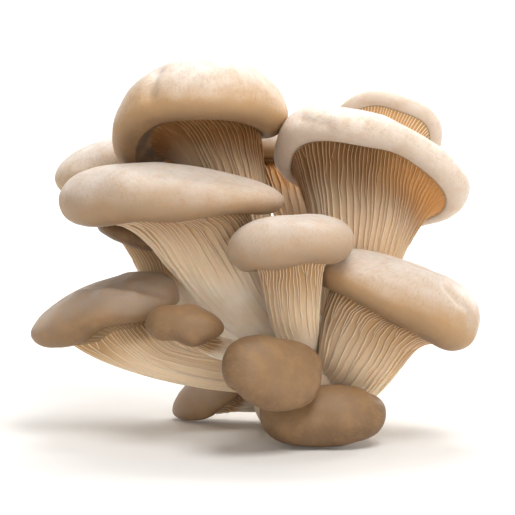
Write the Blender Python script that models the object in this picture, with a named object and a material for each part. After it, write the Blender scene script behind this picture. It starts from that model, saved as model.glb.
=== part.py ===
"""Oyster mushroom cluster: fourteen mushrooms that grow from one shared foot.

Each mushroom is two solids: a thick cap with a rolled margin, and a stem that opens
like a trumpet under the cap and carries the gills as ridges. Lengths in the table are
millimetres. X is to the right, Y away from the front and Z up. The origin is the
centre of the flat cut under the foot.
"""

import math
from dataclasses import dataclass

import bmesh
import bpy
from mathutils import Matrix, Vector

MM = 0.001

# The foot, the shared base that the cluster was cut from.
FOOT_CENTRE = Vector((0, 0, 20))
FOOT_RADII = (27, 27, 30)
FOOT_LUMPS = 1.6
FOOT_SEGMENTS = 28
FOOT_RINGS = 16

# Solids that touch keep this much air between them.
GAP = 0.35

# A cap is a sphere's mesh reshaped: rings over the dome, round the margin and inside.
CAP_SEGMENTS = 20
DOME_ANGLES = (0, 24, 46, 66, 84)
MARGIN_ANGLES = (106, 136, 168, 200)
MARGIN_LIMIT = 0.42  # a margin's half width, at most, as a share of the reach
RIM_WAVE = 0.025
RIM_RIPPLE = 0.7
DROOP_POWER = 4

# A stem is a sphere's mesh too, with its rings closer together near the cap. Its top
# rises under the cap by a share of the neck's width, and its gills fade to the root.
STEM_RINGS = 7
RING_SPREAD = 1.25
TOP_RISE = 0.7
RIDGE_START = 0.05
RIDGE_FULL = 0.18
RIDGE_FADE = 0.6
RIDGE_END = 0.95
RIDGE_OUT = 0.55  # how much of a ridge stands out of the smooth stem
SLOPE_STEP = 0.02
SMOOTH_ANGLE = math.radians(50)

CAP_COLOUR = (0.62, 0.47, 0.34, 1)
STEM_COLOUR = (0.84, 0.70, 0.55, 1)
FOOT_COLOUR = (0.80, 0.68, 0.55, 1)


@dataclass
class Mushroom:
    """One mushroom. Reaches and drops go front, right, back, left round the cap."""

    name: str
    centre: tuple  # middle of the cap's rim plane
    turn: tuple  # degrees: yaw about Z, front edge up, right edge down
    reach: tuple  # from the middle to the widest line of the cap
    drop: tuple  # how far that line hangs below the rim plane
    dome: float  # height of the top over the rim plane
    margin: tuple  # half width and half height of the rolled margin
    neck: tuple  # centre and the two radii where the gills turn down
    waist: tuple  # the same, half way down the stem
    root: tuple  # the same, inside the foot
    gills: int = 20
    ridge: float = 1.3
    flat: float = 0.85  # under 1, the top is flatter and its shoulder tighter
    outline: float = 2.3  # 2 is an ellipse, more is squarer
    phase: float = 0.0  # where the rim's own waves start
    droop: tuple = (0, 0)  # one lobe that hangs lower: degrees from the front, depth
    crest: tuple = (0, 0)  # how far the top leans to the front and to the right
    slim: tuple = (0, 0)  # one side with a thinner margin: degrees from the front, share


MUSHROOMS = (
    Mushroom(
        "top_left", (-47, -3, 140), (0, 8, 0), (31, 38, 27, 37), (0, 4, 4, 5),
        19, (8, 9), ((-38, 1, 128), 15, 17), ((-34, 8, 98), 11, 14), ((-13, 5, 40), 6.5, 6.5),
        gills=30, ridge=1.6, phase=0.5, droop=(248, 13), crest=(1, 2),
    ),
    Mushroom(
        "left_wide", (-58, -26, 104), (-12, 0, 0), (29, 46, 21, 49), (2, 3, 0, 4),
        12, (10, 10), ((-43, -28, 95), 7, 19), ((-42, -28, 62), 11, 25), ((-13, -9, 38), 7, 8),
        gills=30, ridge=1.5, phase=2.1, crest=(0, -14), slim=(90, 0.4),
    ),
    Mushroom(
        "centre", (-9, -49, 85), (0, 2, -4), (20, 26, 13, 25), (0, 0, 0, 1.5),
        11, (8, 9.5), ((-8.5, -50, 74), 9, 11), ((-8.5, -46.5, 48), 9, 11.5), ((-3, -18, 37), 6.5, 7),
        phase=1.0,
    ),
    Mushroom(
        "top_right", (27, -7, 118), (0, 28, 15), (31, 42, 30, 43.3), (0, 4, 8, 6),
        12, (6.5, 7.5), ((22, -11, 100), 14, 26), ((26, -2.5, 78), 12, 19), ((13, 0, 38), 7.5, 9.5),
        gills=30, ridge=1.6, phase=3.0, droop=(130, 6), crest=(0, -17), slim=(270, 0.2),
    ),
    Mushroom(
        "back_right", (36.5, 38, 126), (0, 60, 12), (23, 25, 17, 25), (0, 2, 0, 2),
        8, (4, 4), ((30, 31, 112), 10, 11), ((22, 29, 88), 8, 8), ((13, 13, 36), 6.5, 6.5),
        phase=4.2,
    ),
    Mushroom(
        "right", (37, -29.5, 61), (0, 0, 23), (27, 36, 16.5, 39), (0, 0, 0, 2),
        15, (9, 10), ((22.7, -31, 50.5), 12, 20), ((22.5, -31, 31), 12.5, 19.5), ((14.5, -15.5, 22), 9, 14),
        gills=30, ridge=1.5, flat=0.74, phase=5.0, droop=(55, 2.5), crest=(0, 9), slim=(270, 0.3),
    ),
    Mushroom(
        "back_left", (-79, 40, 115), (0, 0, -12), (24, 32, 26, 37), (0, 1, 2, 2),
        13, (9, 9), ((-58, 43, 100), 11, 13), ((-36, 36, 74), 8, 8), ((-12, 15, 35), 6, 6),
        phase=1.7,
    ),
    Mushroom(
        "left_inner", (-70, 11, 84.5), (0, -8, 14), (22, 21, 18, 24), (0, 1, 0, 1),
        8, (6, 4), ((-61, 5, 69.5), 8, 9), ((-70, 16, 48), 8, 16), ((-14, 9, 27), 5.5, 5.5),
        phase=2.9,
    ),
    Mushroom(
        "lower_left", (-84, -17, 55.5), (0, -5, -7), (24, 28, 20, 36), (0, 1, 0, 8),
        11, (12, 7), ((-72, -20, 30.5), 13, 15), ((-52, -26, 30), 10, 10), ((-12, -10, 21), 6, 6.5),
        flat=0.68, phase=3.8, crest=(-6, 10), slim=(90, 0.5),
    ),
    Mushroom(
        "small_left", (-52, -47, 51), (0, -35, 4), (10.5, 16.5, 9.5, 16), (0, 1, 0, 0),
        7, (4, 4), ((-46, -42, 43), 6, 7), ((-38, -39, 39), 5, 6), ((-14, -17, 31), 4.5, 4.5),
        outline=1.9,
    ),
    Mushroom(
        "front_low", (-16, -60, 33), (0, -65, 30), (15, 22, 15, 22), (0, 0, 0, 0),
        10, (6, 6), ((-15, -52, 32), 8, 9), ((-13, -41, 33.5), 6, 6.5), ((-7, -18, 25), 6, 6),
        outline=2.4, phase=0.9,
    ),
    Mushroom(
        "bottom", (4, -42, 12.75), (0, -50, 0), (14, 26, 12.3, 26), (0, 0, 0, 0),
        12, (5, 6), ((5, -31, 10), 7, 10), ((4, -26, 11), 7, 8), ((2, -12, 14), 6, 6),
        outline=2.5, phase=2.4,
    ),
    Mushroom(
        "bottom_left", (-39, 12, 15.6), (0, -30, -36), (15, 15, 13, 26), (0, 0, 0, 1),
        13, (3, 3.2), ((-33, 16, 8), 5, 6), ((-27, 15, 8), 5, 5), ((-12, 6, 10), 5, 5),
        flat=1.5, outline=1.6, phase=5.5, crest=(0, 4),
    ),
    Mushroom(
        "back_middle", (-14, 50, 124), (180, 10, 0), (22, 24, 18, 22), (0, 1, 0, 2),
        9, (7, 6), ((-7, 36, 107), 10, 10), ((-1, 27, 84), 8, 9), ((-1, 18, 38), 6.5, 6.5),
        phase=0.2,
    ),
)


def smooth_step(low, high, value):
    t = min(1, max(0, (value - low) / (high - low)))
    return t * t * (3 - 2 * t)


def cap_axes(mushroom):
    """The cap's front, right and up directions."""
    yaw, pitch, roll = (math.radians(a) for a in mushroom.turn)
    turn = (
        Matrix.Rotation(yaw, 3, "Z")
        @ Matrix.Rotation(-pitch, 3, "X")
        @ Matrix.Rotation(roll, 3, "Y")
    )
    return turn @ Vector((0, -1, 0)), turn @ Vector((1, 0, 0)), turn @ Vector((0, 0, 1))


def reach_at(mushroom, angle):
    """Distance from the cap's middle to its widest line; angle 0 is the front."""
    front, right, back, left = mushroom.reach
    ahead, aside = math.cos(angle), math.sin(angle)
    long = abs(ahead) / (front if ahead > 0 else back)
    wide = abs(aside) / (right if aside > 0 else left)
    wave = math.sin(3 * angle + mushroom.phase) + 0.6 * math.sin(5 * angle + 2 * mushroom.phase)
    power = mushroom.outline
    return (long**power + wide**power) ** (-1 / power) * (1 + RIM_WAVE * wave)


def drop_at(mushroom, angle):
    front, right, back, left = mushroom.drop
    ahead, aside = math.cos(angle), math.sin(angle)
    ripple = RIM_RIPPLE * math.sin(4 * angle + 3 * mushroom.phase)
    along = ahead**2 * (front if ahead > 0 else back)
    across = aside**2 * (right if aside > 0 else left)
    lobe, depth = mushroom.droop
    hang = depth * max(0, math.cos(angle - math.radians(lobe))) ** DROOP_POWER
    return along + across + ripple + hang


def cap_point(mushroom, angle, around):
    """A point of the cap's skin. Around is 0 on the top, 90 on the widest line and
    over 180 where the margin turns in to the gills."""
    front, right, up = cap_axes(mushroom)
    reach, drop = reach_at(mushroom, angle), drop_at(mushroom, angle)
    half_width, half_height = mushroom.margin
    side, less = mushroom.slim
    half_height *= 1 - less * max(0, math.cos(angle - math.radians(side)))
    a = math.radians(around)
    lean = Vector()
    if around <= 90:
        share = math.sin(a) ** mushroom.flat
        out = reach * share
        height = mushroom.dome * math.cos(a) - drop * share**2
        lean = (front * mushroom.crest[0] + right * mushroom.crest[1]) * (1 - share**2)
    else:
        half_width = min(half_width, MARGIN_LIMIT * reach)
        out = reach - half_width * (1 - math.sin(a))
        height = half_height * math.cos(a) - drop
    flat = front * math.cos(angle) + right * math.sin(angle)
    return Vector(mushroom.centre) + flat * out + up * height + lean


def gill_rim(mushroom, angle):
    """Where the gills start, on the straight sides of the cap's own polygon."""
    step = 2 * math.pi / CAP_SEGMENTS
    first = math.floor(angle / step + 1e-6)
    share = angle / step - first
    inner = MARGIN_ANGLES[-1]
    before = cap_point(mushroom, first * step, inner)
    return before.lerp(cap_point(mushroom, (first + 1) * step, inner), share)


def ceiling(mushroom):
    """The point under the cap's top where its flesh meets the stem."""
    _, _, up = cap_axes(mushroom)
    centre, *radii = mushroom.neck
    return Vector(centre) + up * TOP_RISE * max(radii)


def ring_point(mushroom, section, axis, angle):
    """A point of the stem's outline in a section across the given axis."""
    front, _, _ = cap_axes(mushroom)
    centre, deep, wide = section
    ahead = (front - axis * front.dot(axis)).normalized()
    aside = axis.cross(ahead)
    return Vector(centre) + ahead * deep * math.cos(angle) + aside * wide * math.sin(angle)


def stem_point(mushroom, angle, along):
    """A point of the smooth stem: along is 0 at the cap's margin and 1 at the root."""
    _, _, up = cap_axes(mushroom)
    low = (Vector(mushroom.waist[0]) - Vector(mushroom.root[0])).normalized()
    mid = (Vector(mushroom.neck[0]) - Vector(mushroom.waist[0])).normalized()
    points = (
        gill_rim(mushroom, angle),
        ring_point(mushroom, mushroom.neck, up, angle),
        ring_point(mushroom, mushroom.waist, mid, angle),
        ring_point(mushroom, mushroom.root, low, angle),
    )
    rest = 1 - along
    weights = (rest**3, 3 * along * rest**2, 3 * along**2 * rest, along**3)
    return sum((p * w for p, w in zip(points, weights)), Vector())


def stem_normal(mushroom, angle, along):
    left = stem_point(mushroom, angle - SLOPE_STEP, along)
    right = stem_point(mushroom, angle + SLOPE_STEP, along)
    above = stem_point(mushroom, angle, max(0, along - SLOPE_STEP))
    below = stem_point(mushroom, angle, min(1, along + SLOPE_STEP))
    return (right - left).cross(below - above).normalized()


def new_collection(name):
    collection = bpy.data.collections.new(name)
    bpy.context.scene.collection.children.link(collection)
    return collection


def new_material(name, colour):
    material = bpy.data.materials.new(name)
    material.use_nodes = True
    shader = material.node_tree.nodes["Principled BSDF"]
    shader.inputs["Base Color"].default_value = colour
    shader.inputs["Roughness"].default_value = 0.6
    shader.inputs["Metallic"].default_value = 0
    return material


def sphere_object(name, segments, rings, place, material, collection):
    """A sphere's mesh with each point moved to place(column, ring)."""
    mesh = bpy.data.meshes.new(name)
    shape = bmesh.new()
    bmesh.ops.create_uvsphere(shape, u_segments=segments, v_segments=rings, radius=1)
    for vertex in shape.verts:
        ring = round(math.acos(max(-1, min(1, vertex.co.z))) / math.pi * rings)
        column = round(math.atan2(vertex.co.y, vertex.co.x) / (2 * math.pi) * segments)
        vertex.co = place(column % segments, ring) * MM
    bmesh.ops.triangulate(shape, faces=shape.faces)
    shape.to_mesh(mesh)
    shape.free()
    mesh.shade_smooth()
    mesh.set_sharp_from_angle(angle=SMOOTH_ANGLE)
    mesh.materials.append(material)
    made = bpy.data.objects.new(name, mesh)
    collection.objects.link(made)
    return made


def make_cap(mushroom, material, collection):
    """Dome, rolled margin, and a shallow hollow that rises to the stem's top."""
    angles = DOME_ANGLES + MARGIN_ANGLES

    def place(column, ring):
        if ring == len(angles):
            return ceiling(mushroom)
        return cap_point(mushroom, column * 2 * math.pi / CAP_SEGMENTS, angles[ring])

    return sphere_object(
        "cap_" + mushroom.name, CAP_SEGMENTS, len(angles), place, material, collection
    )


def make_stem(mushroom, material, collection):
    """A trumpet that fits up under the cap, with the gills as ridges down its side."""
    _, _, up = cap_axes(mushroom)
    columns = 2 * mushroom.gills
    top = ceiling(mushroom) - up * GAP
    last = STEM_RINGS + 1

    def place(column, ring):
        if ring == 0:
            return top
        if ring == last:
            return Vector(mushroom.root[0])
        angle = column * 2 * math.pi / columns
        if ring == 1:
            rim = gill_rim(mushroom, angle) - up * GAP
            return rim + (top - rim).normalized() * GAP
        along = ((ring - 1) / (STEM_RINGS - 1)) ** RING_SPREAD
        height = mushroom.ridge * smooth_step(RIDGE_START, RIDGE_FULL, along)
        height *= 1 - smooth_step(RIDGE_FADE, RIDGE_END, along)
        side = RIDGE_OUT if column % 2 else RIDGE_OUT - 1
        point = stem_point(mushroom, angle, along) - up * GAP
        return point + stem_normal(mushroom, angle, along) * height * side

    return sphere_object(
        "stem_" + mushroom.name, columns, last, place, material, collection
    )


def foot_point(angle, tilt, grow):
    """A point of the foot's lumpy side, moved out by grow."""
    ring = math.sin(tilt)
    lumps = FOOT_LUMPS * (
        math.sin(3 * angle + 1.1) * ring + 0.6 * math.cos(5 * angle + 4 * tilt) * ring
    )
    radii = [r + lumps + grow for r in FOOT_RADII]
    return FOOT_CENTRE + Vector(
        (
            radii[0] * ring * math.cos(angle),
            radii[1] * ring * math.sin(angle),
            radii[2] * math.cos(tilt),
        )
    )


def make_foot(name, grow, material, collection):
    """A lump cut flat underneath, at Z = 0, or lower by grow."""

    def place(column, ring):
        return foot_point(
            column * 2 * math.pi / FOOT_SEGMENTS, ring * math.pi / FOOT_RINGS, grow
        )

    made = sphere_object(name, FOOT_SEGMENTS, FOOT_RINGS, place, material, collection)
    shape = bmesh.new()
    shape.from_mesh(made.data)
    cut = bmesh.ops.bisect_plane(
        shape,
        geom=shape.verts[:] + shape.edges[:] + shape.faces[:],
        plane_co=(0, 0, -grow * MM),
        plane_no=(0, 0, -1),
        clear_outer=True,
    )
    edges = [e for e in cut["geom_cut"] if isinstance(e, bmesh.types.BMEdge)]
    bmesh.ops.contextual_create(shape, geom=edges)
    bmesh.ops.triangulate(shape, faces=shape.faces)
    shape.to_mesh(made.data)
    shape.free()
    made.data.set_sharp_from_angle(angle=SMOOTH_ANGLE)
    return made


def trim_by(stem, cutter):
    """Ends the stem at the foot's side."""
    trim = stem.modifiers.new("trim_at_foot", "BOOLEAN")
    trim.operation = "DIFFERENCE"
    trim.object = cutter


def build():
    for old in list(bpy.data.objects):
        bpy.data.objects.remove(old)
    cluster = new_collection("oyster_mushroom_cluster")
    cutters = new_collection("cutters")
    cap_skin = new_material("cap_skin", CAP_COLOUR)
    gill_flesh = new_material("gill_flesh", STEM_COLOUR)
    foot_flesh = new_material("foot_flesh", FOOT_COLOUR)

    made = [make_foot("foot", 0, foot_flesh, cluster)]
    cutter = make_foot("foot_cutter", GAP, foot_flesh, cutters)
    cutter.hide_render = True
    cutter.display_type = "WIRE"
    for mushroom in MUSHROOMS:
        stem = make_stem(mushroom, gill_flesh, cluster)
        trim_by(stem, cutter)
        made += [make_cap(mushroom, cap_skin, cluster), stem]

    origin = bpy.data.objects.new("cluster_origin", None)
    cluster.objects.link(origin)
    for piece in made:
        piece.parent = origin


build()
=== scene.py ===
"""Looks of the oyster mushroom cluster: fine cap skins, thin gills and one smooth foot.

Every cap and stem is made from the same measurements as the part's solids, in
millimetres, with far more points. A cap's skin gets dents and creases, a stem gets its
gills as thin blades that fork and fade, and the foot is melted together with the roots.
"""

import math
from dataclasses import dataclass

import bpy
import numpy as np
from mathutils import Matrix, Vector


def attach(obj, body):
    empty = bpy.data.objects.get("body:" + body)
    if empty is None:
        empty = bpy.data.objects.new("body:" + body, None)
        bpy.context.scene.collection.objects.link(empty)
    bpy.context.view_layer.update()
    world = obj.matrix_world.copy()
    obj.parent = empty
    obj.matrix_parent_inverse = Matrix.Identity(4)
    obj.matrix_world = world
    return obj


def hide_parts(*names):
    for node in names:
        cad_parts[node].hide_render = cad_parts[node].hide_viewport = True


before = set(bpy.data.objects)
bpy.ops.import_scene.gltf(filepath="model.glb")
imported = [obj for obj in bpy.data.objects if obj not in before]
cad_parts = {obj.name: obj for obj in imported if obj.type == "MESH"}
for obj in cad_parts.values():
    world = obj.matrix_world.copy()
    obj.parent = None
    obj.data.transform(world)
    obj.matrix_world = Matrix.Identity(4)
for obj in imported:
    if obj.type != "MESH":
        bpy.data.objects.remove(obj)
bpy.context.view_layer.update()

MM = 0.001

# The foot, as the part has it.
FOOT_CENTRE = (0, 0, 20)
FOOT_RADII = (27, 27, 30)
FOOT_LUMPS = 1.6
FOOT_COLUMNS, FOOT_ROWS = 96, 64
FOOT_POLE = 0.03  # radians from its top and its bottom where the rows end

# The roots that are melted into the foot.
ROOT_COLUMNS, ROOT_ROWS = 32, 10
ROOT_FROM = 0.66  # share of the way down a stem where its melted part starts
ROOT_SUNK = -1.6  # how deep that part lies in the stem at first
ROOT_SWELL = 2.4  # how much it widens where the stem enters the foot
SWELL_FROM = 0.86
MELT_STEP = 0.0009
SOFTEN_ROUNDS = 14
CUT_SNAP = 0.0009  # what lies lower is pressed flat, in metres

# The rules of a cap's outline, as the part has them.
MARGIN_LIMIT = 0.42
RIM_WAVE = 0.025
RIM_RIPPLE = 0.7
DROOP_POWER = 4
GILL_EDGE = 200  # degrees round the margin where the gills start
TUCK = 176  # degrees round the margin where a stem's flesh starts, inside the cap
TUCK_LIFT = 0.5
TOP_RISE = 0.7  # how far the hidden top of a stem rises, as a share of its neck

# How finely a cap and a stem are drawn.
CAP_COLUMNS = 180
CAP_ROWS = 66
FIRST_ROW = 2.0  # degrees from the top
CAP_LAP = 8.0  # degrees that a cap's skin runs on past the gills' start
STEM_ROWS = 46
STEM_GATHER = 1.3  # over 1, the rows lie closer near the cap
RIM_STEPS = 240

# The space that the skin's fibres are drawn in, on a cap and on a stem.
CAP_GRAIN_ROUND = 4.4
CAP_GRAIN_DOWN = 45  # degrees down a cap for a step of 1
STEM_GRAIN_ROUND = 4
STEM_GRAIN_DOWN = 1.2

# Gills, in millimetres.
BLADE_HALF_WIDTH = 0.3
BLADE_HEIGHT = 1.5
BLADE_PROUD = 0.5  # how far a blade stands out of the smooth stem
RIM_STEP = 1.1  # below the gill line a valley reaches its depth
PROUD_AT = 10.0  # below the gill line a blade stands out fully
BACKLIGHT_FADE = (8.0, 26.0)  # below the gill line the painted back-light orange fades between these

# How the gills are laid out. A cell runs from one long gill to the next.
FEWEST_CELLS = 8
BLADE_LIMITS = (0.05, 0.13)  # least and most half width of a blade, in cells
BLADE_PROFILE = ((-1, 0), (-0.5, 0.85), (0, 1), (0.5, 0.85), (1, 0))  # place across, height
LOW_PROFILE = ((-1, 0), (0, 1), (1, 0))
LOW_WIDTH = 0.5  # width of the short gills by the margin, beside 1 of a long one
LOW_HEIGHT = 0.6  # the same for their height
SECOND_HEIGHT = 0.92  # height of the gill that joins a long one
SCATTER = 0.12  # how far a long gill lies off its even place, in cells
SWAYS = ((0.14, 1.1), (0.07, 2.7), (0.035, 5.6))  # a gill's side bends: cells, waves
FLOW = 0.9  # radians by which the bends of two neighbours differ
PAIRED = 0.12  # share of the long gills that run into the next one
JOIN_REACH = 0.3  # how far a shorter gill bends towards the one it joins, in cells
BEND_FROM = 0.3  # share of its way where a gill starts to bend to the one it joins
BARE_EDGE = 16  # degrees in which the gills end beside a bare wall

# Along a gill, in shares of the way down a stem.
SWAY_FULL = 0.2  # from here the side bends have their full size
PAIRS_MEET = (0.35, 0.9)  # least and most, as in the next three
JOINS = (0.12, 0.75)
LOW_ENDS = (0.04, 0.16)
MAIN_ENDS = (0.55, 1.1)  # times the stem's own fade
GILLED_TO = 0.55  # the same, for where the flesh starts to turn smooth

# Where a gill starts to sink, in shares of its length.
LOW_SINKS, MAIN_SINKS, SECOND_SINKS = 0.6, 0.75, 0.8


@dataclass
class Mark:
    """A dent, crease or bump between two places on a cap, given as degrees round from
    the front and degrees down from the top. A negative depth stands out."""

    start: tuple
    end: tuple
    width: float
    depth: float


@dataclass
class Mushroom:
    """One mushroom. Reaches and drops go front, right, back, left round the cap."""

    name: str
    centre: tuple  # middle of the cap's rim plane
    turn: tuple  # degrees: yaw about Z, front edge up, right edge down
    reach: tuple  # from the middle to the widest line of the cap
    drop: tuple  # how far that line hangs below the rim plane
    dome: float  # height of the top over the rim plane
    margin: tuple  # half width and half height of the rolled margin
    neck: tuple  # centre and the two radii where the gills turn down
    waist: tuple  # the same, half way down the stem
    root: tuple  # the same, inside the foot
    flat: float = 0.85  # under 1, the top is flatter and its shoulder tighter
    outline: float = 2.3  # 2 is an ellipse, more is squarer
    phase: float = 0.0  # where the rim's own waves start
    droop: tuple = (0, 0)  # one lobe that hangs lower: degrees from the front, depth
    crest: tuple = (0, 0)  # how far the top leans to the front and to the right
    slim: tuple = (0, 0)  # one side with a thinner margin: degrees from the front, share
    shade: float = 0.3  # 0 is the palest skin, 1 the darkest: partly the skin's tone, partly painted shade
    tan: float = 1.0  # how much browner the cap's sides are than its top, partly the skin's tone and partly painted shade
    fade: float = 0.75  # how far down the stem the gills run
    gill_shade: float = 0.2  # painted shade on the gills under the cap: how dark and brown they turn
    gills: tuple = (2.35, 1.0)  # distance between two gills at the margin, share of depth
    backlight_glow: tuple = (0, 0)  # painted back-light glow, orange below the margin: degrees from the front, share
    bare: tuple = (180, 0)  # where there are no gills: degrees from the front, half width
    marks: tuple = ()


MUSHROOMS = (
    Mushroom(
        "top_left", (-47, -3, 140), (0, 8, 0), (31, 38, 27, 37), (0, 4, 4, 5),
        19, (8, 9), ((-38, 1, 128), 15, 17), ((-34, 8, 98), 11, 14), ((-13, 5, 40), 6.5, 6.5),
        phase=0.5, droop=(248, 13), crest=(1, 2), shade=0.08, tan=1, fade=1.3, gill_shade=1,
        gills=(2.3, 0.9), bare=(285, 48),
        marks=(
            Mark((316, 46), (322, 84), 3.2, 2.2), Mark((330, 20), (60, 30), 12, -0.8),
            Mark((340, 60), (10, 95), 9, 0.6),
        ),
    ),
    Mushroom(
        "left_wide", (-58, -26, 104), (-12, 0, 0), (29, 46, 21, 49), (2, 3, 0, 4),
        12, (10, 10), ((-43, -28, 95), 7, 19), ((-42, -28, 62), 11, 25), ((-13, -9, 38), 7, 8),
        phase=2.1, crest=(0, -14), slim=(90, 0.4), shade=0.36, tan=0.85, fade=0.85,
        gill_shade=0.3, gills=(2.1, 0.8),
        marks=(
            Mark((84, 60), (90, 100), 8, -0.9), Mark((56, 36), (70, 55), 9, 1.4),
            Mark((300, 40), (320, 70), 7, 0.7),
        ),
    ),
    Mushroom(
        "centre", (-9, -49, 85), (0, 2, -4), (20, 26, 13, 25), (0, 0, 0, 1.5),
        11, (8, 9.5), ((-8.5, -50, 74), 9, 11), ((-8.5, -46.5, 48), 9, 11.5),
        ((-3, -18, 37), 6.5, 7),
        phase=1.0, shade=0.36, tan=0.75, fade=1.1, gill_shade=0.3, gills=(1.55, 0.5),
        marks=(Mark((33, 18), (50, 40), 7, 0.9), Mark((300, 70), (320, 90), 8, -0.7)),
    ),
    Mushroom(
        "top_right", (27, -7, 118), (0, 28, 15), (31, 42, 30, 43.3), (0, 4, 8, 6),
        12, (6.5, 7.5), ((22, -11, 100), 14, 26), ((26, -2.5, 78), 12, 19), ((13, 0, 38), 7.5, 9.5),
        phase=3.0, droop=(130, 6), crest=(0, -17), slim=(270, 0.2), shade=0, tan=0.33,
        fade=1.5, gill_shade=0.85, gills=(2.0, 0.8), backlight_glow=(75, 0.7),
        marks=(
            Mark((308, 88), (325, 118), 3, 1.6), Mark((320, 110), (338, 92), 4, -1.3),
            Mark((325, 60), (345, 84), 4, 0.9), Mark((24, 60), (45, 80), 5, 0.9),
        ),
    ),
    Mushroom(
        "back_right", (36.5, 38, 126), (0, 60, 12), (23, 25, 17, 25), (0, 2, 0, 2),
        8, (4, 4), ((30, 31, 112), 10, 11), ((22, 29, 88), 8, 8), ((13, 13, 36), 6.5, 6.5),
        phase=4.2, shade=0, tan=0.3, fade=0.7, gill_shade=0, gills=(1.4, 0.35), backlight_glow=(0, 0.4),
        marks=(Mark((200, 70), (230, 90), 3, 0.6),),
    ),
    Mushroom(
        "right", (37, -29.5, 61), (0, 0, 23), (27, 36, 16.5, 39), (0, 0, 0, 2),
        15, (9, 10), ((22.7, -31, 50.5), 12, 20), ((22.5, -31, 31), 12.5, 19.5),
        ((14.5, -15.5, 22), 9, 14),
        flat=0.74, phase=5.0, droop=(55, 2.5), crest=(0, 9), slim=(270, 0.3),
        shade=0.28, tan=1.1, fade=1.35, gill_shade=0.25, gills=(1.6, 0.55),
        marks=(
            Mark((29, 42), (42, 56), 2, 1.1), Mark((46, 50), (57, 72), 2.1, 1.1),
            Mark((320, 16), (326, 8), 4, 1.0), Mark((20, 60), (45, 80), 9, -0.9),
        ),
    ),
    Mushroom(
        "back_left", (-79, 40, 115), (0, 0, -12), (24, 32, 26, 37), (0, 1, 2, 2),
        13, (9, 9), ((-58, 43, 100), 11, 13), ((-36, 36, 74), 8, 8), ((-12, 15, 35), 6, 6),
        phase=1.7, shade=0.12, tan=0.9, fade=0.7, gill_shade=0.2,
        marks=(Mark((300, 60), (330, 80), 4, 0.9),),
    ),
    Mushroom(
        "left_inner", (-70, 11, 84.5), (0, -8, 14), (22, 21, 18, 24), (0, 1, 0, 1),
        8, (6, 4), ((-61, 5, 69.5), 8, 9), ((-70, 16, 48), 8, 16), ((-14, 9, 27), 5.5, 5.5),
        phase=2.9, shade=1, tan=1, fade=0.45, gill_shade=0, gills=(1.9, 0.35),
    ),
    Mushroom(
        "lower_left", (-84, -17, 55.5), (0, -5, -7), (24, 28, 20, 36), (0, 1, 0, 8),
        11, (12, 7), ((-72, -20, 30.5), 13, 15), ((-52, -26, 30), 10, 10), ((-12, -10, 21), 6, 6.5),
        flat=0.68, phase=3.8, crest=(-6, 10), slim=(90, 0.5), shade=0.74, tan=1, fade=1.6,
        gill_shade=0.1, gills=(2.1, 0.25),
        marks=(
            Mark((294, 28), (344, 41), 3.5, -1.4), Mark((344, 41), (21, 52), 3.5, -1.4),
            Mark((21, 52), (56, 84), 3, -1.1), Mark((294, 15), (344, 27), 4, 1.3),
            Mark((344, 27), (21, 38), 4, 1.3), Mark((21, 38), (54, 62), 3.5, 1.0),
        ),
    ),
    Mushroom(
        "small_left", (-52, -47, 51), (0, -35, 4), (10.5, 16.5, 9.5, 16), (0, 1, 0, 0),
        7, (4, 4), ((-46, -42, 43), 6, 7), ((-38, -39, 39), 5, 6), ((-14, -17, 31), 4.5, 4.5),
        outline=1.9, shade=1, tan=1, fade=0.6, gill_shade=0.2,
        marks=(Mark((300, 40), (40, 60), 3, 0.6),),
    ),
    Mushroom(
        "front_low", (-16, -60, 33), (0, -65, 30), (15, 22, 15, 22), (0, 0, 0, 0),
        10, (6, 6), ((-15, -52, 32), 8, 9), ((-13, -41, 33.5), 6, 6.5), ((-7, -18, 25), 6, 6),
        outline=2.4, phase=0.9, shade=1, tan=1, fade=0.6, gill_shade=0.2,
        marks=(
            Mark((298, 104), (304, 126), 1.8, 1.4), Mark((330, 32), (20, 40), 7, 0.9),
            Mark((80, 50), (110, 70), 5, -0.6),
        ),
    ),
    Mushroom(
        "bottom", (4, -42, 12.75), (0, -50, 0), (14, 26, 12.3, 26), (0, 0, 0, 0),
        12, (5, 6), ((5, -31, 10), 7, 10), ((4, -26, 11), 7, 8), ((2, -12, 14), 6, 6),
        outline=2.5, phase=2.4, shade=1, tan=1, fade=0.6, gill_shade=0.2,
        marks=(Mark((220, 40), (268, 20), 6, 0.9), Mark((106, 60), (120, 90), 3, 0.8)),
    ),
    Mushroom(
        "bottom_left", (-39, 12, 15.6), (0, -30, -36), (15, 15, 13, 26), (0, 0, 0, 1),
        13, (3, 3.2), ((-33, 16, 8), 5, 6), ((-27, 15, 8), 5, 5), ((-12, 6, 10), 5, 5),
        flat=1.5, outline=1.6, phase=5.5, crest=(0, 4), shade=0.65, tan=1, fade=0.6, gill_shade=0.2,
    ),
    Mushroom(
        "back_middle", (-14, 50, 124), (180, 10, 0), (22, 24, 18, 22), (0, 1, 0, 2),
        9, (7, 6), ((-7, 36, 107), 10, 10), ((-1, 27, 84), 8, 9), ((-1, 18, 38), 6.5, 6.5),
        phase=0.2, shade=0.5, tan=1, fade=1.4, gill_shade=0.7, backlight_glow=(180, 0.7),
        marks=(Mark((20, 40), (60, 70), 4, 0.8),),
    ),
)


def smooth_step(low, high, value):
    t = np.clip((value - low) / (high - low), 0, 1)
    return t * t * (3 - 2 * t)


def cap_axes(mushroom):
    """The cap's front, right and up directions."""
    yaw, pitch, roll = (math.radians(a) for a in mushroom.turn)
    turn = (
        Matrix.Rotation(yaw, 3, "Z")
        @ Matrix.Rotation(-pitch, 3, "X")
        @ Matrix.Rotation(roll, 3, "Y")
    )
    return [np.array(turn @ Vector(way)) for way in ((0, -1, 0), (1, 0, 0), (0, 0, 1))]


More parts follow.
